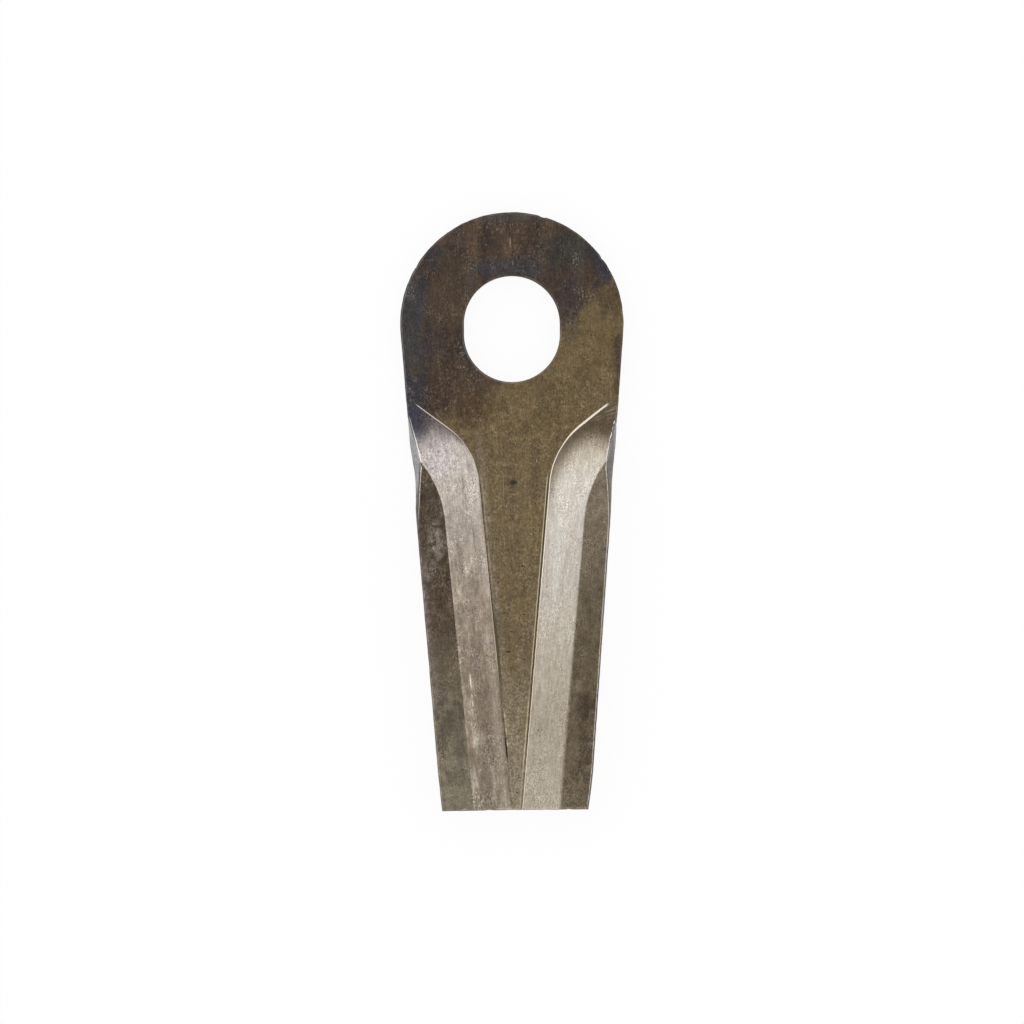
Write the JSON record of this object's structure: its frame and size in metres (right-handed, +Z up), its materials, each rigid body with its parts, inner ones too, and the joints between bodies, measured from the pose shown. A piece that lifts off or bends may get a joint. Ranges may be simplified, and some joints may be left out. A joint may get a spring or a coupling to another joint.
{
  "type": "rotary mower blade",
  "caption": "Pressed steel rotary mower blade: flat round head with an oval pivot hole, a V-shaped web and two flutes lifting flat cutting wings towards a square tip.",
  "frame": {"origin": "pin seat: centre of the head arc and of the oval hole's head-side end, on the plane of the underside", "axes": "+Y along the blade towards the round head, tip towards -Y; +Z up through the pivot hole, out of the side to which the wings rise; +X across the blade"},
  "size_m": [0.048, 0.1284, 0.007],
  "materials": {
    "steel": "rolled and pressed, brown-grey scale with bright rubbed flutes"
  },
  "bodies": {
    "root": {"blade": "steel"}
  },
  "joints": []
}
